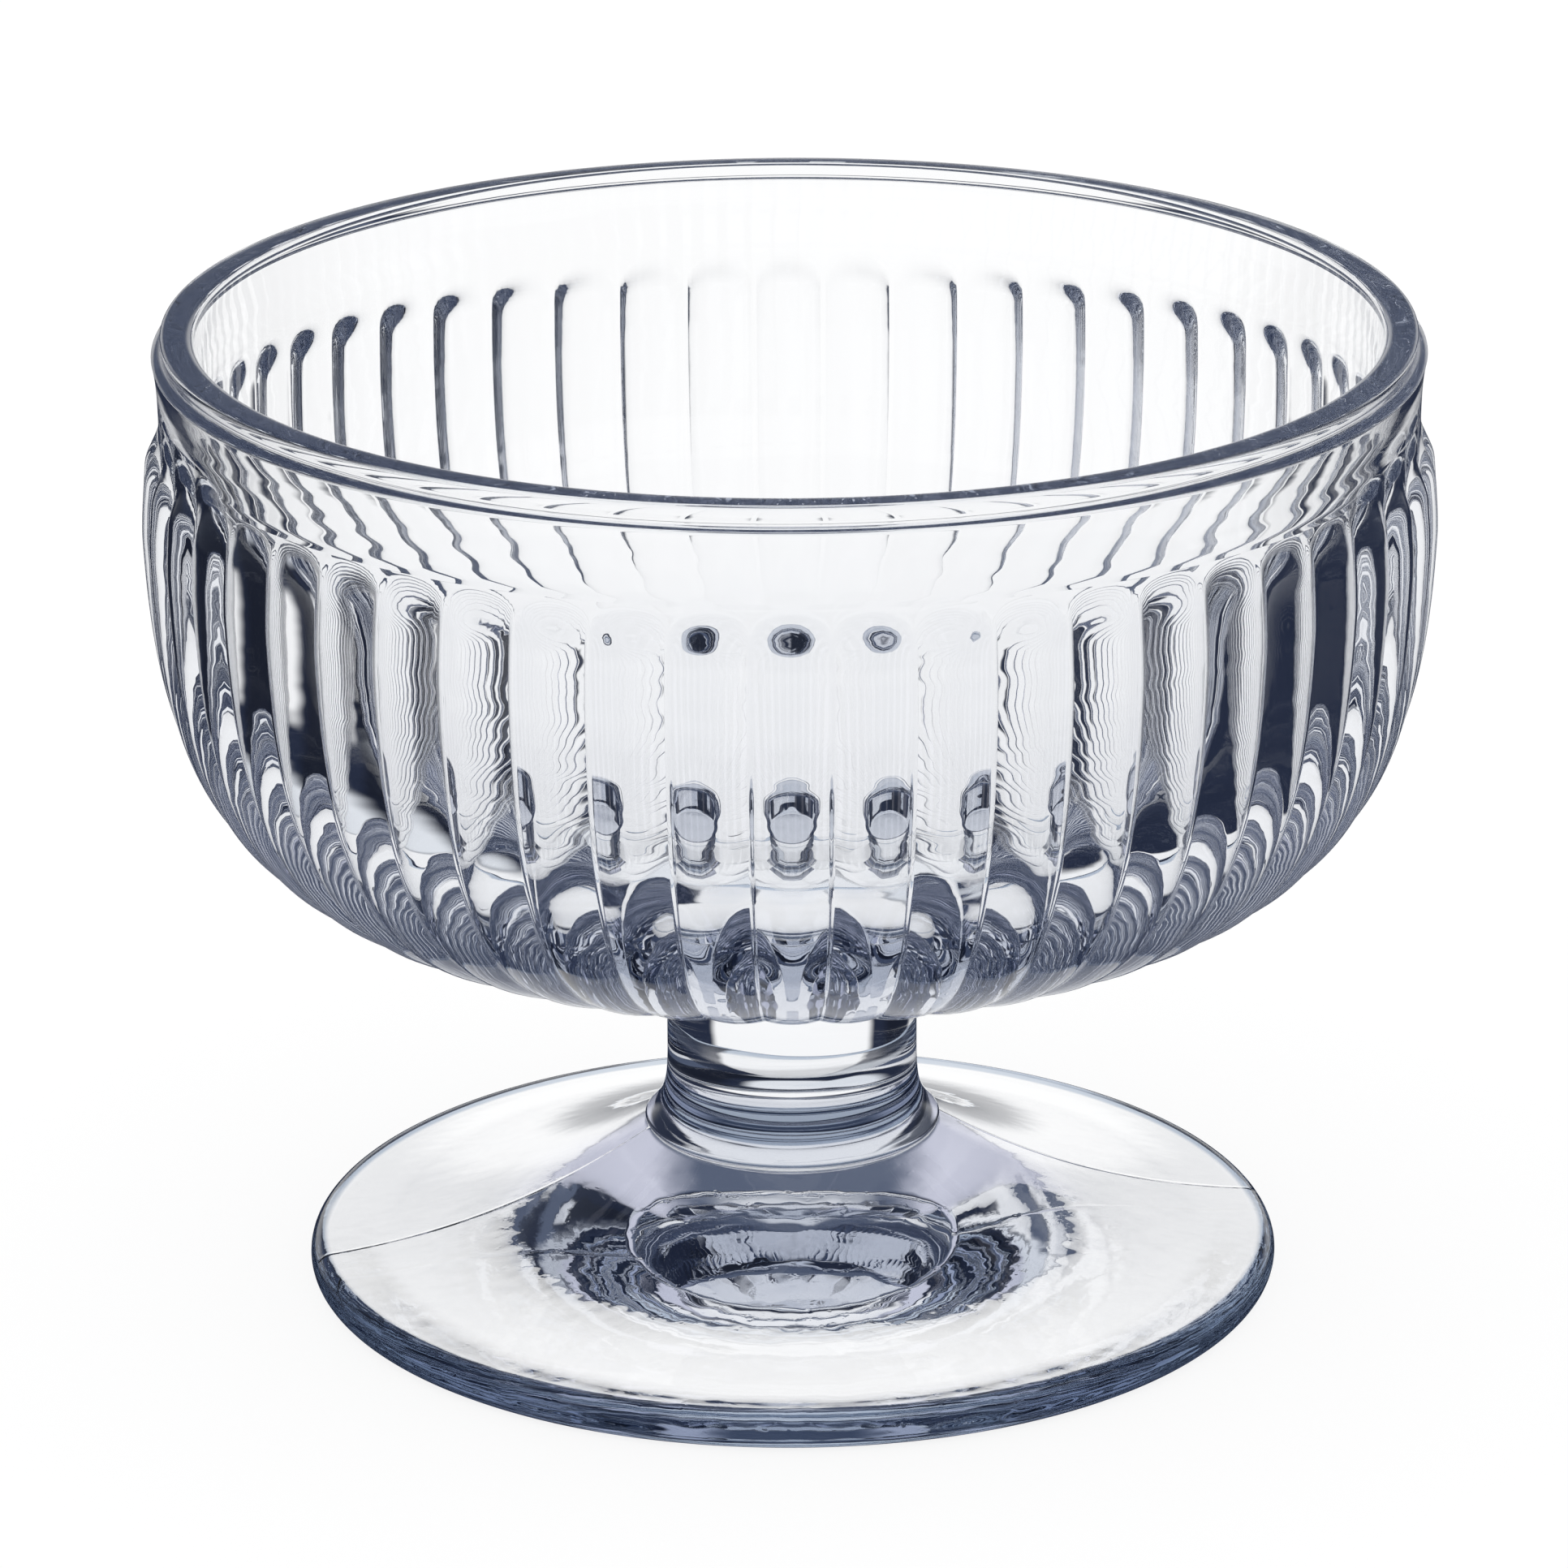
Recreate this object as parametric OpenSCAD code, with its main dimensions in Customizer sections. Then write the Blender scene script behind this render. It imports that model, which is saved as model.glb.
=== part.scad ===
// Footed sundae dish in clear reeded pressed glass: a bowl, a short stem and a round foot,
// each sealed face to face to the next. The origin is on the table, under the middle of the foot.

/* [Bowl] */
// Height of the bowl from its seal on the stem up to the rim
bowl_h = 49.4; // [45:0.2:60]
// Diameter over the reeds at the widest place
belly_d = 102.4; // [90:0.2:120]
// Distance from the reed tops down to the widest place
belly_drop = 8; // [5:0.1:10]
// Thickness of the glass at the bottom of the bowl
floor_t = 8.2; // [6:0.1:10]
// Thickness of the wall at the mouth, measured in from the widest place
wall_t = 4.5; // [3.9:0.1:6]
// Narrowing of the inside radius from the mouth down to the round of the bottom
draft = 0.5; // [0.2:0.1:1.5]
// Height of the round between the floor inside and the wall
round_h = 26; // [20:0.2:30]

/* [Reeds] */
// Number of reeds round the bowl
reed_count = 52; // [36:2:60]
// Depth of the grooves between the reeds at the widest place
reed_depth = 1.1; // [0.6:0.05:1.6]
// Height of the rounded end at the top of each reed
reed_end_h = 3.8; // [2.6:0.1:5]

/* [Rim] */
// Height of the lip above the press line
lip_h = 1.6; // [1.2:0.1:2.2]
// How far the lip stands in from the foot of the plain band
lip_in = 0.3; // [0.1:0.05:0.6]
// Height of the press line, the fine groove left where the two halves of the mould met
press_h = 0.5; // [0.3:0.05:0.8]
// Depth of the press line below the face of the lip
press_in = 0.25; // [0.1:0.05:0.5]
// Height of the plain band between the reed tops and the press line
band_h = 6.2; // [4:0.1:9]
// How far the foot of the plain band stands in from the widest place
band_in = 1.55; // [1.3:0.05:2]
// How far the plain band flares out up to the press line
band_out = 0.42; // [0.1:0.02:0.6]
// Radius of the fire-polished inner edge of the rim
inner_edge_r = 0.8; // [0.4:0.1:1]
// Radius of the fire-polished outer edge of the rim
outer_edge_r = 0.4; // [0.2:0.1:0.7]

/* [Stem] */
// Height of the stem from the foot up to the bowl
stem_h = 18.2; // [12:0.2:40]
// Diameter of the stem between its neck and its flared base
shank_d = 20.2; // [16:0.1:30]
// How far the neck under the bowl stands out from the stem
neck_w = 2.1; // [1:0.1:3]
// Height of the neck
neck_h = 4; // [2:0.1:6]
// Ledge of the bowl's sealing face round the top of the stem
seal_ledge = 0.2; // [0.1:0.05:1]
// How far the flared base stands out from the stem
flare_w = 1.85; // [1:0.05:4]
// Height of the flare
flare_h = 6.6; // [4:0.1:8]
// Radius of the rounded edge round the base
base_edge_r = 0.6; // [0.3:0.1:0.9]

/* [Foot] */
// Height of the foot from the table up to its seal under the stem
foot_h = 12.2; // [9:0.1:18]
// Diameter of the foot
foot_d = 78.7; // [70:0.1:88]
// How far the flared base of the stem stands out over the sealing face on top of the foot
foot_ledge = 0.15; // [0.05:0.05:0.4]
// Thickness of the rounded edge of the foot
foot_edge_t = 3.2; // [2.4:0.1:4.4]
// Width of the flat ring that the dish stands on
stand_w = 4.6; // [3:0.1:8]
// Height of the hollow under the middle of the foot
hollow_h = 2.4; // [1:0.1:4]

/* [Hidden] */
$fn = 128;

// Facets of one reed, steps along the bowl's side, and steps along the other curves
reed_facets = 4;
side_steps = 10;
curve_steps = 12;
edge_steps = 8;

// Width of the ledge between the reeded body and the plain band
ledge_w = 0.04;
// How far a cut runs past the face that it opens
overrun = 1;

// Handles of the bowl's outer curve, as shares of its widest radius and the height of that place
side_low_shares = [0.89, 0.02];
side_high_shares = [0.984, 0.375];
// Handles of the curve inside, as shares of the inside radius and of the round's height
floor_flat_share = 0.75;
corner_rise_share = 0.15;
// Places in a reed's rounded end where the surface has a ring, and the power of the end's outline
reed_end_shares = [0, 0.3, 0.55, 0.75, 0.92, 1];
end_power = 2.4;
// Handles of the plain band, as shares of its flare and height
band_low_shares = [0, 0.3];
band_high_shares = [0.05, 0.72];
// Handle of the press line, as a share of its height
press_high_share = 0.8;
// Handles of the flare, as shares of its width and height
flare_low_share = 0.75;
flare_high_share = 0.4;
// Handles of the neck, as shares of its width and height
neck_low_share = 0.6;
neck_high_shares = [0.3, 0.94];
// Handles of the foot's top, as shares of the run from the seal to the edge and of its drop
slope_low_shares = [0.21, 0.37];
slope_high_shares = [0.51, 0.845];

bowl_z = foot_h + stem_h;
shank_r = shank_d / 2;
stem_top_r = shank_r + neck_w;
seal_r = stem_top_r + seal_ledge;
stem_base_r = shank_r + flare_w;
foot_top_r = stem_base_r - foot_ledge;
band_r = belly_d / 2 - band_in;
lip_r = band_r - lip_in;
mouth_r = belly_d / 2 - wall_t;
reed_top_h = bowl_h - lip_h - band_h;
belly_h = reed_top_h - belly_drop;
groove_r = belly_d / 2 - reed_depth;
groove_share = reed_depth / groove_r;
reed_angle = 360 / reed_count;

// Point at share t of a cubic curve with two handles
function cubic(a, b, c, d, t) =
    a * pow(1 - t, 3) + 3 * b * t * pow(1 - t, 2) + 3 * c * pow(t, 2) * (1 - t) + d * pow(t, 3);

// Points of a cubic curve, both ends among them
function curve(a, b, c, d) = [for (i = [0 : curve_steps]) cubic(a, b, c, d, i / curve_steps)];

// Points of an arc about [x, y] from angle a to angle b
function arc(x, y, r, a, b) =
    [for (i = [0 : edge_steps])
        let (w = a + (b - a) * i / edge_steps)
        [x + r * cos(w), y + r * sin(w)]];

// Bottom of the grooves on the bowl's side, at share t of the way from the seal to the belly
function side_point(t) = cubic(
    [seal_r, 0],
    [groove_r * side_low_shares.x, belly_h * side_low_shares.y],
    [groove_r * side_high_shares.x, belly_h * side_high_shares.y],
    [groove_r, belly_h], t);

// Radius of the grooves above the belly, easing in to the plain band
function shoulder_r(z) =
    let (top_r = band_r + ledge_w)
    top_r + (groove_r - top_r) * (1 + cos(180 * (z - belly_h) / belly_drop)) / 2;

// Rings of the reeded body, each with its height, groove radius and share of the way up a reed's end
reed_rings = concat(
    [for (i = [0 : side_steps]) let (p = side_point(i / side_steps)) [p.y, p.x, 0]],
    [for (s = reed_end_shares) let (z = reed_top_h - reed_end_h * (1 - s)) [z, shoulder_r(z), s]]);

// Share of a reed's width and of its crown left at share s of the way up its rounded end
function end_width(s) = pow(1 - pow(s, end_power), 1 / end_power);
function end_crown(s) = 1 - s * s * (3 - 2 * s);

// Point of a ring at angle share u across reed i, where u runs from -1 to 1
function reed_point(ring, i, u) =
    let (s = ring[2])
    let (level = s < 1 ? max(0, 1 - pow(u / end_width(s), 2)) : 0)
    let (r = ring[1] * (1 + groove_share * end_crown(s) * level))
    let (w = reed_angle * (i + u / 2))
    [r * sin(w), -r * cos(w), ring[0]];

// The bowl's reeded side as one closed body, from the sealing face up to the reed tops
module reeded_body() {
    columns = reed_count * reed_facets;
    rows = len(reed_rings);
    points = [for (ring = reed_rings)
        for (i = [0 : reed_count - 1])
            for (j = [0 : reed_facets - 1])
                reed_point(ring, i, 2 * j / reed_facets - 1)];
    sides = [for (k = [0 : rows - 2])
        for (c = [0 : columns - 1])
            let (a = k * columns + c)
            let (b = k * columns + (c + 1) % columns)
            each [[a, a + columns, b + columns], [a, b + columns, b]]];
    bottom = [for (c = [0 : columns - 1]) c];
    top = [for (c = [0 : columns - 1]) rows * columns - 1 - c];
    polyhedron(points, concat([bottom, top], sides));
}

// Plain band, press line and lip over the reeds, as one turned ring filled to the axis
module rim_body() {
    press_low = bowl_h - lip_h - press_h / 2;
    press_r = lip_r - press_in;
    rise = press_low - reed_top_h;
    rotate_extrude()
        polygon(concat(
            [[0, reed_top_h]],
            curve(
                [band_r, reed_top_h],
                [band_r + band_out * band_low_shares.x, reed_top_h + rise * band_low_shares.y],
                [band_r + band_out * band_high_shares.x, reed_top_h + rise * band_high_shares.y],
                [band_r + band_out, press_low]),
            [for (i = [1 : edge_steps]) cubic(
                [band_r + band_out, press_low],
                [press_r, press_low],
                [press_r, press_low + press_h * press_high_share],
                [lip_r, press_low + press_h], i / edge_steps)],
            arc(lip_r - outer_edge_r, bowl_h - outer_edge_r, outer_edge_r, 0, 90),
            [[0, bowl_h]]));
}

// Hollow of the bowl, opened through the rim
module bowl_hollow() {
    wall_r = mouth_r - draft;
    rotate_extrude()
        polygon(concat(
            curve(
                [0, floor_t],
                [wall_r * floor_flat_share, floor_t],
                [wall_r, floor_t + round_h * corner_rise_share],
                [wall_r, floor_t + round_h]),
            arc(mouth_r + inner_edge_r, bowl_h - inner_edge_r, inner_edge_r, 180, 90),
            [[mouth_r + inner_edge_r, bowl_h + overrun], [0, bowl_h + overrun]]));
}

module bowl() {
    color([0.84, 0.9, 0.96, 0.5])
        translate([0, 0, bowl_z])
            difference() {
                union() {
                    reeded_body();
                    rim_body();
                }
                bowl_hollow();
            }
}

module stem() {
    edge_h = base_edge_r;
    rise = flare_h - edge_h;
    neck_low = stem_h - neck_h;
    color([0.8, 0.87, 0.94, 0.5])
        translate([0, 0, foot_h])
            rotate_extrude()
                polygon(concat(
                    [[0, 0]],
                    arc(stem_base_r - base_edge_r, edge_h, base_edge_r, -90, 0),
                    curve(
                        [stem_base_r, edge_h],
                        [stem_base_r - flare_w * flare_low_share, edge_h + rise * (1 - flare_low_share)],
                        [shank_r, edge_h + rise * flare_high_share],
                        [shank_r, flare_h]),
                    curve(
                        [shank_r, neck_low],
                        [shank_r, neck_low + neck_h * neck_low_share],
                        [shank_r + neck_w * neck_high_shares.x, neck_low + neck_h * neck_high_shares.y],
                        [stem_top_r, stem_h]),
                    [[0, stem_h]]));
}

module foot() {
    edge_r = foot_edge_t / 2;
    edge_x = foot_d / 2 - edge_r;
    run = edge_x - foot_top_r;
    drop = foot_h - foot_edge_t;
    stand_r = edge_x - stand_w;
    hollow_points = [for (i = [0 : curve_steps - 1])
        let (s = 1 - i / curve_steps)
        [stand_r * s, hollow_h * (1 - s * s)]];
    color([0.87, 0.92, 0.97, 0.5])
        rotate_extrude()
            polygon(concat(
                [[0, foot_h]],
                [[0, hollow_h]],
                [for (i = [curve_steps - 1 : -1 : 0]) hollow_points[i]],
                arc(edge_x, edge_r, edge_r, -90, 90),
                [for (i = [curve_steps - 1 : -1 : 0]) cubic(
                    [foot_top_r, foot_h],
                    [foot_top_r + run * slope_low_shares.x, foot_h - drop * slope_low_shares.y],
                    [foot_top_r + run * slope_high_shares.x, foot_h - drop * slope_high_shares.y],
                    [edge_x, foot_edge_t], i / curve_steps)]));
}

foot();
stem();
bowl();
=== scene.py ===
import math

import bpy
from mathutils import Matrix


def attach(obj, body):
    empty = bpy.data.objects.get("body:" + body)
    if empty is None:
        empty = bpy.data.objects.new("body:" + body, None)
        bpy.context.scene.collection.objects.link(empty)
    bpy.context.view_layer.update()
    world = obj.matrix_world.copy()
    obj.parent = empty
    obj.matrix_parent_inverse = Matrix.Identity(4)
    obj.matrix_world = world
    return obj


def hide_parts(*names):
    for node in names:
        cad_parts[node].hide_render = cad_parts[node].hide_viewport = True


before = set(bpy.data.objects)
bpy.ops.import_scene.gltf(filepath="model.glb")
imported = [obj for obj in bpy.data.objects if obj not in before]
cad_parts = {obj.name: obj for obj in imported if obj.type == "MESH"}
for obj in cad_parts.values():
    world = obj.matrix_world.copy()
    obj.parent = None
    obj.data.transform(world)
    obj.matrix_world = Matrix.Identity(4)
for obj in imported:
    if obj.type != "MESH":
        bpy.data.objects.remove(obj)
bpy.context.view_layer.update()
scene = bpy.context.scene
scene.view_settings.view_transform = "Standard"
mm = 0.001
print("frame loaded:", sorted(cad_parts))


# curves in millimetres, as (radius, height) points

def mix(a, b, t):
    return a + (b - a) * t


def cubicPoint(a, b, c, d, t):
    w = ((1 - t) ** 3, 3 * t * (1 - t) ** 2, 3 * t * t * (1 - t), t ** 3)
    return tuple(sum(k * p[i] for k, p in zip(w, (a, b, c, d))) for i in (0, 1))


def cubicPoints(a, b, c, d, steps):
    return [cubicPoint(a, b, c, d, i / steps) for i in range(steps + 1)]


def arcPoints(x, y, r, start, end, steps):
    turns = [math.radians(mix(start, end, i / steps)) for i in range(steps + 1)]
    return [(x + r * math.cos(w), y + r * math.sin(w)) for w in turns]


def linePoints(a, b, steps):  # without its two ends
    return [(mix(a[0], b[0], i / steps), mix(a[1], b[1], i / steps)) for i in range(1, steps)]


# shader helpers

def addNode(tree, kind, x=0, y=0, **values):
    node = tree.nodes.new(kind)
    node.location = (x, y)
    for name, value in values.items():
        setattr(node, name, value)
    return node


def mathNode(tree, operation, a, b=None, x=0, y=0):
    node = addNode(tree, "ShaderNodeMath", x, y, operation=operation)
    for socket, value in zip(node.inputs, (a, b)):
        if value is None:
            continue
        if hasattr(value, "is_output"):
            tree.links.new(value, socket)
        else:
            socket.default_value = value
    return node.outputs[0]


# one tree turns a profile into a glass piece and raises the reeds on it

turnedTreeInputs = (
    ("Columns", "NodeSocketInt", 624),
    ("Reeds", "NodeSocketInt", 52),
    ("Groove Crowding", "NodeSocketFloat", 0.3),
    ("Crease Softness", "NodeSocketFloat", 0.02),
)
turnedTreeLimits = {"wholeReed": 0.0001, "weldGap": 0.002 * mm, "allSealed": 0.9}

# what a profile row holds after its radius and height; widths are squared shares of a reed
rowValues = ("reedRise", "reedWidth", "crease", "sealed")
plainRow = (0, 1, 0, 0)
sealedRow = (0, 1, 0, 1)


def buildTurnedTree(limits):
    tree = bpy.data.node_groups.new("turnedReededGlass", "GeometryNodeTree")
    face = tree.interface
    face.new_socket("Geometry", in_out="INPUT", socket_type="NodeSocketGeometry")
    for name, kind, value in turnedTreeInputs:
        face.new_socket(name, in_out="INPUT", socket_type=kind).default_value = value
    face.new_socket("Glass", in_out="INPUT", socket_type="NodeSocketMaterial")
    face.new_socket("Geometry", in_out="OUTPUT", socket_type="NodeSocketGeometry")
    link = tree.links.new
    given = addNode(tree, "NodeGroupInput", -1400, 0)
    profile = given.outputs["Geometry"]

    def calc(operation, a, b=None):
        return mathNode(tree, operation, a, b)

    size = addNode(tree, "GeometryNodeAttributeDomainSize")
    link(profile, size.inputs["Geometry"])
    rows = size.outputs["Point Count"]
    grid = addNode(tree, "GeometryNodeMeshGrid")
    link(calc("ADD", given.outputs["Columns"], 1), grid.inputs["Vertices X"])
    link(rows, grid.inputs["Vertices Y"])
    index = addNode(tree, "GeometryNodeInputIndex").outputs[0]
    row = calc("MODULO", index, rows)
    column = calc("FLOOR", calc("DIVIDE", calc("ADD", index, 0.5), rows))

    def sampled(source, kind):
        node = addNode(tree, "GeometryNodeSampleIndex", data_type=kind, domain="POINT")
        link(profile, node.inputs["Geometry"])
        link(source, node.inputs["Value"])
        link(row, node.inputs["Index"])
        return node.outputs[0]

    def named(name):
        node = addNode(tree, "GeometryNodeInputNamedAttribute", data_type="FLOAT")
        node.inputs["Name"].default_value = name
        return node.outputs[0]

    place = addNode(tree, "ShaderNodeSeparateXYZ")
    position = addNode(tree, "GeometryNodeInputPosition").outputs[0]
    link(sampled(position, "FLOAT_VECTOR"), place.inputs[0])
    rise, width, softness, sealed = (sampled(named(name), "FLOAT") for name in rowValues)

    # across a reed, u runs from -1 to 1 and crowds towards the grooves
    along = calc("MULTIPLY", calc("DIVIDE", column, given.outputs["Columns"]), given.outputs["Reeds"])
    reed = calc("FLOOR", calc("ADD", along, limits["wholeReed"]))
    u = calc("SUBTRACT", calc("MULTIPLY", calc("SUBTRACT", along, reed), 2.0), 1.0)
    room = calc("SUBTRACT", 1.0, calc("MULTIPLY", u, u))
    crowd = calc("MULTIPLY", given.outputs["Groove Crowding"], room)
    across = calc("MULTIPLY", u, calc("ADD", 1.0, crowd))
    turn = calc("MULTIPLY", calc("ADD", reed, calc("MULTIPLY", across, 0.5)),
                calc("DIVIDE", 2 * math.pi, given.outputs["Reeds"]))

    # a parabola across the reed, with its crease softened
    level = calc("SUBTRACT", 1.0, calc("DIVIDE", calc("MULTIPLY", across, across), width))
    soft = calc("MULTIPLY", softness, given.outputs["Crease Softness"])
    reach = calc("SQRT", calc("ADD", calc("MULTIPLY", level, level), calc("MULTIPLY", soft, soft)))
    lifted = calc("MULTIPLY", calc("ADD", level, reach), 0.5)
    radius = calc("ADD", place.outputs[0], calc("MULTIPLY", rise, lifted))
    spot = addNode(tree, "ShaderNodeCombineXYZ")
    link(calc("MULTIPLY", radius, calc("SINE", turn)), spot.inputs[0])
    link(calc("MULTIPLY", calc("MULTIPLY", radius, -1.0), calc("COSINE", turn)), spot.inputs[1])
    link(place.outputs[2], spot.inputs[2])

    keepSeal = addNode(tree, "GeometryNodeStoreNamedAttribute", data_type="FLOAT", domain="POINT")
    keepSeal.inputs["Name"].default_value = "sealed"
    link(grid.outputs["Mesh"], keepSeal.inputs["Geometry"])
    link(sealed, keepSeal.inputs["Value"])
    setPlace = addNode(tree, "GeometryNodeSetPosition")
    link(keepSeal.outputs[0], setPlace.inputs["Geometry"])
    link(spot.outputs[0], setPlace.inputs["Position"])
    weld = addNode(tree, "GeometryNodeMergeByDistance")
    weld.inputs["Distance"].default_value = limits["weldGap"]
    link(setPlace.outputs[0], weld.inputs["Geometry"])
    smooth = addNode(tree, "GeometryNodeSetShadeSmooth")
    link(weld.outputs[0], smooth.inputs["Geometry"])
    markSeal = addNode(tree, "GeometryNodeStoreNamedAttribute", data_type="FLOAT", domain="FACE")
    markSeal.inputs["Name"].default_value = "seal"
    link(smooth.outputs[0], markSeal.inputs["Geometry"])
    link(calc("GREATER_THAN", named("sealed"), limits["allSealed"]), markSeal.inputs["Value"])
    real = addNode(tree, "GeometryNodeRealizeInstances")
    link(markSeal.outputs[0], real.inputs["Geometry"])
    glass = addNode(tree, "GeometryNodeSetMaterial")
    link(real.outputs[0], glass.inputs["Geometry"])
    link(given.outputs["Glass"], glass.inputs["Material"])
    done = addNode(tree, "NodeGroupOutput")
    link(glass.outputs[0], done.inputs["Geometry"])
    return tree


def turnedPiece(name, rows, nodes, glass, tree):
    # the rows run round from axis to axis
    mesh = bpy.data.meshes.new(name + "Profile")
    mesh.from_pydata([(r[0] * mm, 0, r[1] * mm) for r in rows],
                     [(i, i + 1) for i in range(len(rows) - 1)], [])
    for place, attribute in enumerate(rowValues):
        layer = mesh.attributes.new(attribute, "FLOAT", "POINT")
        scale = mm if attribute == "reedRise" else 1
        layer.data.foreach_set("value", [r[2 + place] * scale for r in rows])
    holder = bpy.data.objects.new(name + "Profile", mesh)
    scene.collection.objects.link(holder)
    modifier = holder.modifiers.new("turned", "NODES")
    modifier.node_group = tree
    given = dict(nodes, Glass=glass)
    for item in tree.interface.items_tree:
        if item.in_out == "INPUT" and item.name in given:
            modifier[item.identifier] = given[item.name]
    bpy.context.view_layer.update()
    made = bpy.data.meshes.new_from_object(holder.evaluated_get(bpy.context.evaluated_depsgraph_get()))
    made.name = name
    bpy.data.objects.remove(holder)
    piece = bpy.data.objects.new(name, made)
    scene.collection.objects.link(piece)
    for face, mark in zip(made.polygons, made.attributes["seal"].data):
        face.use_smooth = not mark.value
    made.attributes.remove(made.attributes["sealed"])
    made.update()
    print(name, "triangles:", sum(len(f.vertices) - 2 for f in made.polygons))
    return piece


# glass

rippleInputs = (
    ("Wave Scale", "NodeSocketFloat"),
    ("Ring Scale", "NodeSocketFloat"),
    ("Ring Stretch", "NodeSocketVector"),
    ("Ring Share", "NodeSocketFloat"),
    ("Speck Scale", "NodeSocketFloat"),
    ("Speck Share", "NodeSocketFloat"),
    ("Seam Turn", "NodeSocketFloat"),
    ("Seam Width", "NodeSocketFloat"),
    ("Seam Share", "NodeSocketFloat"),
    ("Seam Floor", "NodeSocketFloat"),
    ("Edge Radius", "NodeSocketFloat"),
    ("Edge Fade", "NodeSocketFloat"),
)
rippleShape = {"waveDetail": 1.0, "ringDetail": 1.0, "speckDetail": 2.0, "pitLevel": 0.62,
               "chatterFade": -0.2}


def buildPressedRipple(shape):
    # broad waves, chill rings, pits and a mould seam as one height, and a mask for the painted shade on the
    # thick edge
    group = bpy.data.node_groups.new("pressedRipple", "ShaderNodeTree")
    face = group.interface
    for name, kind in rippleInputs:
        face.new_socket(name, in_out="INPUT", socket_type=kind)
    for name in ("Height", "Film", "Edge"):
        face.new_socket(name, in_out="OUTPUT", socket_type="NodeSocketFloat")
    link = group.links.new
    given = addNode(group, "NodeGroupInput", -1100, 0)
    where = addNode(group, "ShaderNodeTexCoord", -1100, -300).outputs["Object"]
    stretched = addNode(group, "ShaderNodeVectorMath", -800, 0, operation="MULTIPLY")
    link(where, stretched.inputs[0])
    link(given.outputs["Ring Stretch"], stretched.inputs[1])
    place = addNode(group, "ShaderNodeSeparateXYZ", -800, -400)
    link(where, place.inputs[0])
    x, y, z = place.outputs

    def noise(vector, scale, detail, row):
        node = addNode(group, "ShaderNodeTexNoise", -560, row)
        node.inputs["Detail"].default_value = detail
        link(vector, node.inputs["Vector"])
        link(given.outputs[scale], node.inputs["Scale"])
        return node.outputs["Fac"]

    def calc(operation, a, b=None):
        return mathNode(group, operation, a, b)

    wave = noise(where, "Wave Scale", shape["waveDetail"], 300)
    ring = noise(stretched.outputs[0], "Ring Scale", shape["ringDetail"], 100)
    speck = noise(where, "Speck Scale", shape["speckDetail"], -100)
    pits = calc("MAXIMUM", calc("SUBTRACT", speck, shape["pitLevel"]), 0.0)
    height = calc("ADD", wave, calc("MULTIPLY", ring, given.outputs["Ring Share"]))
    height = calc("SUBTRACT", height, calc("MULTIPLY", pits, given.outputs["Speck Share"]))

    # the seam is a fine ridge across the axis, with chatter beside it
    turn = given.outputs["Seam Turn"]
    off = calc("ABSOLUTE", calc("SUBTRACT", calc("MULTIPLY", y, calc("COSINE", turn)),
                                calc("MULTIPLY", x, calc("SINE", turn))))
    off = calc("DIVIDE", off, given.outputs["Seam Width"])
    ridge = calc("EXPONENT", calc("MULTIPLY", calc("POWER", off, 2.0), -1.0))
    chatter = calc("MULTIPLY", speck, calc("EXPONENT", calc("MULTIPLY", off, shape["chatterFade"])))
    above = calc("GREATER_THAN", z, given.outputs["Seam Floor"])
    share = calc("MULTIPLY", given.outputs["Seam Share"], above)
    seam = calc("MULTIPLY", calc("ADD", ridge, chatter), share)

    # painted shade mask: none inside the edge radius, full past it
    edge = addNode(group, "ShaderNodeMapRange", 0, -500, interpolation_type="SMOOTHSTEP")
    radius = calc("SQRT", calc("ADD", calc("POWER", x, 2.0), calc("POWER", y, 2.0)))
    link(radius, edge.inputs["Value"])
    link(given.outputs["Edge Radius"], edge.inputs["From Min"])
    link(calc("ADD", given.outputs["Edge Radius"], given.outputs["Edge Fade"]), edge.inputs["From Max"])
    done = addNode(group, "NodeGroupOutput", 300, 0)
    link(calc("ADD", height, seam), done.inputs["Height"])
    link(wave, done.inputs["Film"])
    link(edge.outputs["Result"], done.inputs["Edge"])
    return group


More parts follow.
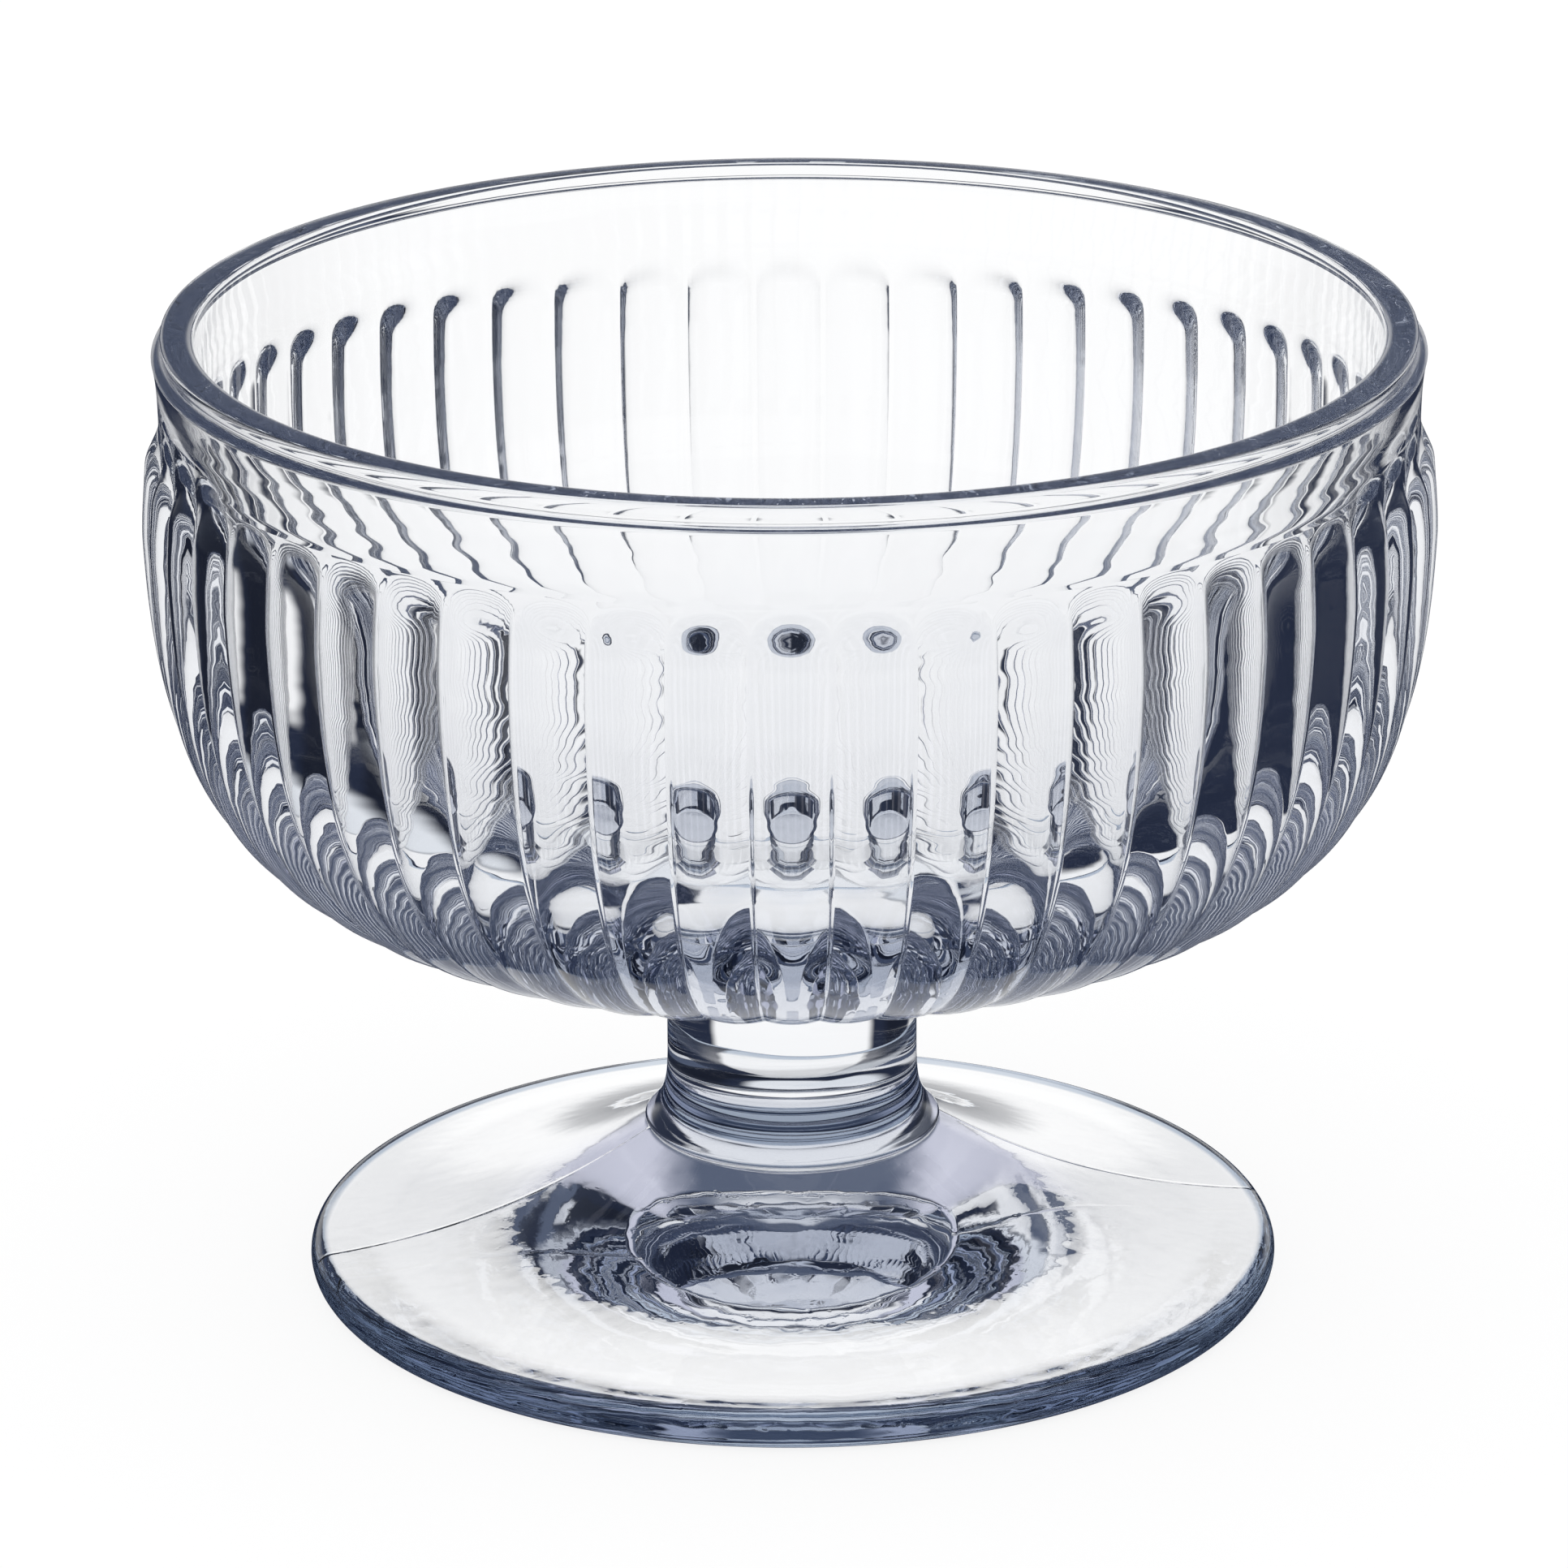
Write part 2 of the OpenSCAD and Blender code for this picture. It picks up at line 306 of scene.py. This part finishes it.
def glassMaterial(name, look, ripple):
    material = bpy.data.materials.new(name)
    material.use_nodes = True
    tree = material.node_tree
    tree.nodes.clear()
    out = addNode(tree, "ShaderNodeOutputMaterial", 500, 0)
    shader = addNode(tree, "ShaderNodeBsdfPrincipled", 200, 0)
    shader.inputs["IOR"].default_value = look["ior"]
    shader.inputs["Transmission Weight"].default_value = 1.0
    shader.inputs["Specular Tint"].default_value = look["gloss"]
    tree.links.new(shader.outputs[0], out.inputs["Surface"])
    depth = addNode(tree, "ShaderNodeVolumeAbsorption", 200, -400)
    depth.inputs["Color"].default_value = look["depthTint"]
    depth.inputs["Density"].default_value = look["depth"]
    tree.links.new(depth.outputs[0], out.inputs["Volume"])
    # the pieces are melted together at their seals, so light goes straight through there
    seal = addNode(tree, "ShaderNodeAttribute", -200, -420, attribute_name="seal")
    tree.links.new(mathNode(tree, "SUBTRACT", 1.0, seal.outputs["Fac"], 0, -420), shader.inputs["Alpha"])
    wavy = addNode(tree, "ShaderNodeGroup", -500, 0)
    wavy.node_tree = ripple
    for socket, kind in rippleInputs:
        wavy.inputs[socket].default_value = look[socket]
    tint = addNode(tree, "ShaderNodeMix", -200, 120, data_type="RGBA")
    tint.inputs["A"].default_value = look["tintLow"]
    tint.inputs["B"].default_value = look["tintHigh"]
    tree.links.new(wavy.outputs["Film"], tint.inputs["Factor"])
    # painted shade: the thick edge's base colour is mixed to a darker navy, on top of the light its depth
    # takes up
    paintedEdgeMix = addNode(tree, "ShaderNodeMix", 0, 120, data_type="RGBA")
    tree.links.new(wavy.outputs["Edge"], paintedEdgeMix.inputs["Factor"])
    tree.links.new(tint.outputs["Result"], paintedEdgeMix.inputs["A"])
    paintedEdgeMix.inputs["B"].default_value = look["paintedEdgeShade"]
    tree.links.new(paintedEdgeMix.outputs["Result"], shader.inputs["Base Color"])
    film = mathNode(tree, "MULTIPLY", wavy.outputs["Film"], look["haze"], -200, -60)
    tree.links.new(film, shader.inputs["Roughness"])
    bump = addNode(tree, "ShaderNodeBump", -100, -220)
    bump.inputs["Strength"].default_value = look["bump"]
    bump.inputs["Distance"].default_value = look["bumpHeight"]
    tree.links.new(wavy.outputs["Height"], bump.inputs["Height"])
    tree.links.new(bump.outputs[0], shader.inputs["Normal"])
    return material


# the glass that the three pieces share; an edge radius past the piece leaves its edge without painted shade
pressedGlass = {
    "ior": 1.52, "gloss": (0.4, 0.4, 0.4, 1), "haze": 0.004, "bump": 0.3, "bumpHeight": 0.05 * mm,
    "tintLow": (0.995, 0.998, 1.0, 1), "tintHigh": (0.999, 1.0, 1.0, 1),
    "paintedEdgeShade": (0.3, 0.38, 0.51, 1), "depthTint": (0.1, 0.2, 0.42, 1), "depth": 7.0,
    "Wave Scale": 90.0, "Ring Scale": 380.0, "Ring Stretch": (0.12, 0.12, 1.0), "Ring Share": 4.0,
    "Speck Scale": 900.0, "Speck Share": 0.0,
    "Seam Turn": math.radians(10), "Seam Width": 0.2 * mm, "Seam Share": 0.0, "Seam Floor": 2.5 * mm,
    "Edge Radius": 60 * mm, "Edge Fade": 0.6 * mm,
}
ripple = buildPressedRipple(rippleShape)
turnedTree = buildTurnedTree(turnedTreeLimits)
print("glass and tree ready")


# bowl

bowlSettings = {
    "baseHeight": 30.4, "height": 49.4, "bellyRadius": 51.2, "bellyDrop": 8.0, "sealRadius": 12.2,
    "ledge": 0.2, "wall": 4.5, "floor": 8.2, "draft": 0.5, "roundHeight": 26.0, "floorFlat": 0.75,
    "cornerRise": 0.15, "reedDepth": 1.1, "reedEnd": 3.8, "endSquare": 2.4, "endTip": 0.001,
    "lip": 1.6, "lipIn": 0.3, "innerEdge": 0.3, "outerEdge": 0.15,
    "band": 6.2, "bandIn": 1.55, "bandOut": 0.42, "bandLow": (0.0, 0.3), "bandHigh": (0.05, 0.72),
    "press": 0.5, "pressIn": 0.25, "pressRound": 0.8,
    "sideLow": (0.89, 0.02), "sideHigh": (0.984, 0.375), "shoulderLedge": 0.04,
    "steps": {"side": 54, "shoulder": 5, "end": 14, "band": 16, "press": 8, "edge": 8, "wall": 6,
              "inside": 30},
    "nodes": {"Columns": 624, "Reeds": 52, "Groove Crowding": 0.3, "Crease Softness": 0.02},
    "look": pressedGlass,
}


def bowlRows(s):
    n = s["steps"]
    top = s["height"]
    reedTop = top - s["lip"] - s["band"]
    belly = reedTop - s["bellyDrop"]
    groove = s["bellyRadius"] - s["reedDepth"]
    share = s["reedDepth"] / groove
    band = s["bellyRadius"] - s["bandIn"]
    lip = band - s["lipIn"]
    mouth = s["bellyRadius"] - s["wall"]
    wall = mouth - s["draft"]
    outerEdge = (lip - mouth) * s["outerEdge"]
    innerEdge = (lip - mouth) * s["innerEdge"]

    def shoulder(z):
        high = band + s["shoulderLedge"]
        return high + (groove - high) * (1 + math.cos(math.pi * (z - belly) / s["bellyDrop"])) / 2

    # reeds, up the side and over the shoulder to their rounded tops
    rows = [(0, 0) + sealedRow, (s["sealRadius"], 0) + sealedRow]
    side = cubicPoints((s["sealRadius"] + s["ledge"], 0), (groove * s["sideLow"][0], belly * s["sideLow"][1]),
                       (groove * s["sideHigh"][0], belly * s["sideHigh"][1]), (groove, belly), n["side"])
    rows += [(r, z, share * r, 1, 1, 0) for r, z in side]
    endLow = reedTop - s["reedEnd"]
    for i in range(1, n["shoulder"]):
        z = mix(belly, endLow, i / n["shoulder"])
        rows.append((shoulder(z), z, share * shoulder(z), 1, 1, 0))
    for i in range(n["end"] + 1):
        end = math.sin(math.pi / 2 * i / n["end"])
        z = endLow + s["reedEnd"] * end
        fall = 1 - end * end * (3 - 2 * end)
        width = max((1 - end ** s["endSquare"]) ** (2 / s["endSquare"]), s["endTip"])
        rows.append((shoulder(z), z, share * shoulder(z) * fall, width, 1, 0))

    # plain band, press line, lip and inside
    bandTop = reedTop + s["band"] - s["press"] / 2
    flared = band + s["bandOut"]
    bandLow, bandHigh = ((mix(band, flared, r), mix(reedTop, bandTop, z))
                         for r, z in (s["bandLow"], s["bandHigh"]))
    plainBand = cubicPoints((band, reedTop), bandLow, bandHigh, (flared, bandTop), n["band"])[1:]
    deep = lip - s["pressIn"]
    pressLine = cubicPoints(plainBand[-1], (deep, bandTop), (deep, bandTop + s["press"] * s["pressRound"]),
                            (lip, bandTop + s["press"]), n["press"])[1:]
    outer = arcPoints(lip - outerEdge, top - outerEdge, outerEdge, 0, 90, n["edge"])
    inner = arcPoints(mouth + innerEdge, top - innerEdge, innerEdge, 90, 180, n["edge"])
    corner = (wall, s["floor"] + s["roundHeight"])
    down = linePoints(inner[-1], corner, n["wall"])
    inside = cubicPoints(corner, (wall, s["floor"] + s["roundHeight"] * s["cornerRise"]),
                         (wall * s["floorFlat"], s["floor"]), (0, s["floor"]), n["inside"])
    rows += [point + plainRow for point in plainBand + pressLine + outer + inner + down + inside]
    return [(r[0], r[1] + s["baseHeight"]) + r[2:] for r in rows]


reededGlass = glassMaterial("reededGlass", bowlSettings["look"], ripple)
bowl = turnedPiece("bowlReeded", bowlRows(bowlSettings), bowlSettings["nodes"], reededGlass, turnedTree)


# stem

stemSettings = {
    "baseHeight": 12.2, "height": 18.2, "shankRadius": 10.1, "topRadius": 12.2, "baseRadius": 11.95,
    "fillet": 4.0, "seam": 0.005, "flare": 6.6, "baseEdge": 0.6, "flareLow": 0.75, "flareHigh": 0.4,
    "neckLow": 0.6, "neckHigh": (0.3, 0.94),
    "steps": {"edge": 10, "flare": 24, "shank": 8, "neck": 14},
    "nodes": {"Columns": 256, "Reeds": 64, "Groove Crowding": 0.0, "Crease Softness": 0.0},
    "look": dict(pressedGlass, depth=4.0),
}


def stemRows(s):
    n = s["steps"]
    shank, base, top = s["shankRadius"], s["baseRadius"], s["topRadius"]
    edge = s["baseEdge"]
    rise = s["flare"] - edge
    neck = s["height"] - s["fillet"]
    low = arcPoints(base - edge, edge, edge, -90, 0, n["edge"])
    flareLow = (base - (base - shank) * s["flareLow"], edge + rise * (1 - s["flareLow"]))
    flare = cubicPoints((base, edge), flareLow, (shank, edge + rise * s["flareHigh"]), (shank, s["flare"]),
                        n["flare"])
    side = linePoints((shank, s["flare"]), (shank, neck), n["shank"])
    neckHigh = (mix(shank, top, s["neckHigh"][0]), mix(neck, s["height"], s["neckHigh"][1]))
    side += cubicPoints((shank, neck), (shank, mix(neck, s["height"], s["neckLow"])), neckHigh,
                        (top, s["height"]), n["neck"])[:-1]
    rows = [(0, 0) + sealedRow, low[0] + sealedRow]
    rows += [point + plainRow for point in low[1:] + flare[1:] + side]
    rows += [(top, s["height"]) + sealedRow, (0, s["height"]) + sealedRow]
    # a hair of air at each seal keeps the two faces apart
    squeeze = 1 - 2 * s["seam"] / s["height"]
    return [(r[0], r[1] * squeeze + s["seam"] + s["baseHeight"]) + r[2:] for r in rows]


stemGlass = glassMaterial("stemGlass", stemSettings["look"], ripple)
stem = turnedPiece("stemShort", stemRows(stemSettings), stemSettings["nodes"], stemGlass, turnedTree)


# foot

footSettings = {
    "height": 12.2, "radius": 39.35, "sealRadius": 11.35, "topRadius": 11.8, "edge": 3.2, "stand": 4.6,
    "hollow": 2.4, "slopeLow": (0.21, 0.37), "slopeHigh": (0.51, 0.845),
    "steps": {"under": 40, "stand": 4, "edge": 20, "slope": 60},
    "nodes": {"Columns": 384, "Reeds": 64, "Groove Crowding": 0.0, "Crease Softness": 0.0},
    # the foot's edge radius sits inside its rim, so its outer edge gets the painted shade
    "look": dict(pressedGlass, **{
        "depth": 4.5, "Ring Stretch": (1.0, 1.0, 1.0), "Ring Share": 1.5, "Speck Share": 1.0,
        "Seam Share": 2.0, "Edge Radius": 37.8 * mm}),
}


def footRows(s):
    n = s["steps"]
    edge = s["edge"] / 2
    edgeX = s["radius"] - edge
    stand = edgeX - s["stand"]
    run = edgeX - s["topRadius"]
    drop = s["height"] - s["edge"]
    parts = [i / n["under"] for i in range(n["under"] + 1)]
    under = [(stand * t, s["hollow"] * (1 - t ** 2)) for t in parts]
    flat = linePoints((stand, 0), (edgeX, 0), n["stand"])
    rim = arcPoints(edgeX, edge, edge, -90, 90, n["edge"])
    slopeHigh, slopeLow = ((s["topRadius"] + run * r, s["height"] - drop * z)
                           for r, z in (s["slopeHigh"], s["slopeLow"]))
    slope = cubicPoints((edgeX, s["edge"]), slopeHigh, slopeLow, (s["topRadius"], s["height"]), n["slope"])
    rows = [point + plainRow for point in under + flat + rim + slope[1:]]
    return rows + [(s["sealRadius"], s["height"]) + sealedRow, (0, s["height"]) + sealedRow]


footGlass = glassMaterial("footGlass", footSettings["look"], ripple)
foot = turnedPiece("footRound", footRows(footSettings), footSettings["nodes"], footGlass, turnedTree)

for piece, node in ((bowl, "bowl"), (stem, "stem"), (foot, "foot")):
    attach(piece, "root")
    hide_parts(node)
print("glass pieces in place")


# studio: a white sweep behind, pale boxes at the sides, navy room between them

studio = {"floorSize": 6.0, "floorDrop": 0.05 * mm, "floorTone": 0.2, "floorGlow": 0.85, "roomLight": 0.9,
          "white": (1, 1, 1, 1), "navy": (0.02, 0.027, 0.052, 1), "flag": (0.012, 0.015, 0.026, 1),
          "card": (0.8, 0.82, 0.86, 1), "cove": (0.68, 0.69, 0.8, 1)}
# each panel spans turns and heights in degrees seen from the glass; a later one covers an earlier one
# slant lowers a panel's top away from the middle
studioPanels = (
    {"name": "sweep", "turn": (-31, 31), "height": (-100, 8), "slant": 0.8, "soft": (2.5, 4),
     "color": (1.03, 1.03, 1.03, 1)},
    {"name": "table", "turn": (-190, 190), "height": (-100, -72), "soft": (4, 4),
     "color": (0.9, 0.92, 0.95, 1)},
    {"name": "ceiling", "turn": (-190, 190), "height": (14, 100), "soft": (4, 5),
     "color": (0.11, 0.135, 0.2, 1)},
    {"name": "leftFlag", "turn": (-62, -40), "height": (-50, -8), "soft": (4, 5), "color": studio["flag"]},
    {"name": "leftTable", "turn": (-125, -32), "height": (-100, -52), "soft": (5, 5),
     "color": (0.85, 0.88, 0.92, 1)},
    {"name": "leftWall", "turn": (-106, -66), "height": (-33, 12), "soft": (4, 4),
     "color": studio["white"]},
    {"name": "window", "turn": (-180, -100), "height": (-31, 12), "soft": (4, 4), "color": studio["white"]},
    {"name": "leftBox", "turn": (-75, -50), "height": (12, 32), "soft": (5, 4),
     "color": (0.8, 0.83, 0.88, 1)},
    {"name": "rightBox", "turn": (50, 75), "height": (12, 32), "soft": (5, 4),
     "color": (0.55, 0.58, 0.64, 1)},
    {"name": "leftCove", "turn": (-52, -20), "height": (9, 33), "soft": (6, 4), "color": studio["cove"]},
    {"name": "rightCove", "turn": (20, 52), "height": (9, 33), "soft": (6, 4), "color": studio["cove"]},
    {"name": "overhead", "turn": (-16, 16), "height": (35, 66), "soft": (5, 4),
     "color": (0.75, 0.77, 0.81, 1)},
    {"name": "rightWindow", "turn": (110, 182), "height": (-6, 13), "soft": (6, 3),
     "color": studio["white"]},
    {"name": "rightFlag", "turn": (75, 182), "height": (-62, -4), "soft": (6, 4), "color": studio["flag"]},
    {"name": "rightCard", "turn": (80, 100), "height": (-24, -10), "soft": (3, 2), "color": studio["card"]},
    {"name": "frontCard", "turn": (163, 197), "height": (-29, -9), "soft": (3, 2), "color": studio["card"]},
)
# what the outside of the glass mirrors, beside what is seen through it
mirrorPanels = (
    {"name": "upper", "turn": (-190, 190), "height": (-3, 100), "soft": (8, 4),
     "color": (0.17, 0.19, 0.24, 1)},
    {"name": "backWall", "turn": (-36, 36), "height": (-3, 12), "soft": (8, 4), "color": studio["white"]},
)


def buildFloor(s):
    half = s["floorSize"] / 2
    mesh = bpy.data.meshes.new("paleFloor")
    corners = [(-half, -half, 0), (half, -half, 0), (half, half, 0), (-half, half, 0)]
    mesh.from_pydata(corners, [], [(0, 1, 2, 3)])
    floor = bpy.data.objects.new("paleFloor", mesh)
    floor.location.z = -s["floorDrop"]
    scene.collection.objects.link(floor)
    material = bpy.data.materials.new("paleFloor")
    material.use_nodes = True
    tree = material.node_tree
    tree.nodes.clear()
    out = addNode(tree, "ShaderNodeOutputMaterial", 400, 0)
    both = addNode(tree, "ShaderNodeAddShader", 200, 0)
    matt = addNode(tree, "ShaderNodeBsdfDiffuse", 0, 100)
    matt.inputs["Color"].default_value = (s["floorTone"], s["floorTone"], s["floorTone"], 1)
    glow = addNode(tree, "ShaderNodeEmission", 0, -100)
    seen = addNode(tree, "ShaderNodeLightPath", -400, -100)
    glowing = mathNode(tree, "MULTIPLY", seen.outputs["Is Camera Ray"], s["floorGlow"], -200, -100)
    tree.links.new(glowing, glow.inputs["Strength"])
    tree.links.new(matt.outputs[0], both.inputs[0])
    tree.links.new(glow.outputs[0], both.inputs[1])
    tree.links.new(both.outputs[0], out.inputs["Surface"])
    mesh.materials.append(material)
    # the glass sees the panels in place of the floor
    floor.visible_transmission = False
    floor.visible_glossy = False


def buildWorld(s, panels, mirrored):
    world = bpy.data.worlds.new("softStudio")
    scene.world = world
    world.use_nodes = True
    tree = world.node_tree
    tree.nodes.clear()
    link = tree.links.new
    out = addNode(tree, "ShaderNodeOutputWorld", 900, 0)
    seen = addNode(tree, "ShaderNodeLightPath", -200, 400)
    way = addNode(tree, "ShaderNodeTexCoord", -900, 0)
    part = addNode(tree, "ShaderNodeSeparateXYZ", -700, 0)
    link(way.outputs["Generated"], part.inputs[0])
    east, north, up = part.outputs
    turn = mathNode(tree, "ARCTAN2", east, north, -500, 100)
    spread = mathNode(tree, "ABSOLUTE", turn)
    height = mathNode(tree, "ARCSINE", up, None, -500, -100)

    def fade(angle, middle, soft, falling):
        node = addNode(tree, "ShaderNodeMapRange", interpolation_type="SMOOTHSTEP")
        link(angle, node.inputs["Value"])
        node.inputs["From Min"].default_value = math.radians(middle - soft)
        node.inputs["From Max"].default_value = math.radians(middle + soft)
        node.inputs["To Min"].default_value = 1.0 if falling else 0.0
        node.inputs["To Max"].default_value = 0.0 if falling else 1.0
        return node.outputs["Result"]

    def hung(panels):
        room = addNode(tree, "ShaderNodeRGB")
        room.outputs[0].default_value = s["navy"]
        color = room.outputs[0]
        for panel in panels:
            sideSoft, topSoft = panel["soft"]
            start, end = panel["turn"]
            # the turn runs on past the back, so a panel may cross it
            wrapped = addNode(tree, "ShaderNodeMath", operation="WRAP")
            link(mathNode(tree, "SUBTRACT", turn, math.radians((start + end) / 2)), wrapped.inputs[0])
            wrapped.inputs[1].default_value, wrapped.inputs[2].default_value = math.pi, -math.pi
            away = mathNode(tree, "ABSOLUTE", wrapped.outputs[0])
            tilted = mathNode(tree, "ADD", height, mathNode(tree, "MULTIPLY", spread, panel.get("slant", 0)))
            mask = mathNode(tree, "MULTIPLY", fade(away, (end - start) / 2, sideSoft, True), mathNode(
                tree, "MULTIPLY", fade(height, panel["height"][0], topSoft, False),
                fade(tilted, panel["height"][1], topSoft, True)))
            blend = addNode(tree, "ShaderNodeMix", data_type="RGBA", label=panel["name"])
            link(mask, blend.inputs["Factor"])
            link(color, blend.inputs["A"])
            blend.inputs["B"].default_value = panel["color"]
            color = blend.outputs["Result"]
        return color

    byMirror = addNode(tree, "ShaderNodeMix", data_type="RGBA")
    link(seen.outputs["Is Transmission Ray"], byMirror.inputs["Factor"])
    link(hung(mirrored), byMirror.inputs["A"])
    link(hung(panels), byMirror.inputs["B"])
    around = addNode(tree, "ShaderNodeBackground", 500, 0)
    link(byMirror.outputs["Result"], around.inputs["Color"])
    # the camera sees plain white, and the rest of the light is a little lower
    plain = addNode(tree, "ShaderNodeBackground", 500, 200)
    plain.inputs["Color"].default_value = s["white"]
    rest = mathNode(tree, "MULTIPLY", seen.outputs["Is Camera Ray"], 1 - s["roomLight"])
    link(mathNode(tree, "ADD", rest, s["roomLight"], 100, 400), plain.inputs["Strength"])
    through = mathNode(tree, "MAXIMUM", seen.outputs["Is Glossy Ray"], seen.outputs["Is Transmission Ray"],
                       100, 250)
    choose = addNode(tree, "ShaderNodeMixShader", 700, 0)
    link(through, choose.inputs[0])
    link(plain.outputs[0], choose.inputs[1])
    link(around.outputs[0], choose.inputs[2])
    link(choose.outputs[0], out.inputs["Surface"])


# light passes through many faces of glass before it leaves
bounces = {"max_bounces": 32, "transmission_bounces": 32, "glossy_bounces": 16, "transparent_max_bounces": 32}

buildFloor(studio)
buildWorld(studio, studioPanels, mirrorPanels)
for name, count in bounces.items():
    setattr(scene.cycles, name, count)
scene.cycles.use_denoising = True
print("studio ready")


# camera, from the photograph

photoCamera = {"place": (-0.56, -594.2, 250.5), "pitch": 70.58, "roll": -0.25, "lens": 180.4, "sensor": 36.0}
cameraData = bpy.data.cameras.new("photoCamera")
cameraData.lens = photoCamera["lens"]
cameraData.sensor_width = photoCamera["sensor"]
camera = bpy.data.objects.new("photoCamera", cameraData)
camera.location = [x * mm for x in photoCamera["place"]]
camera.rotation_mode = "ZXY"
camera.rotation_euler = (math.radians(photoCamera["pitch"]), 0, math.radians(photoCamera["roll"]))
scene.collection.objects.link(camera)
scene.camera = camera
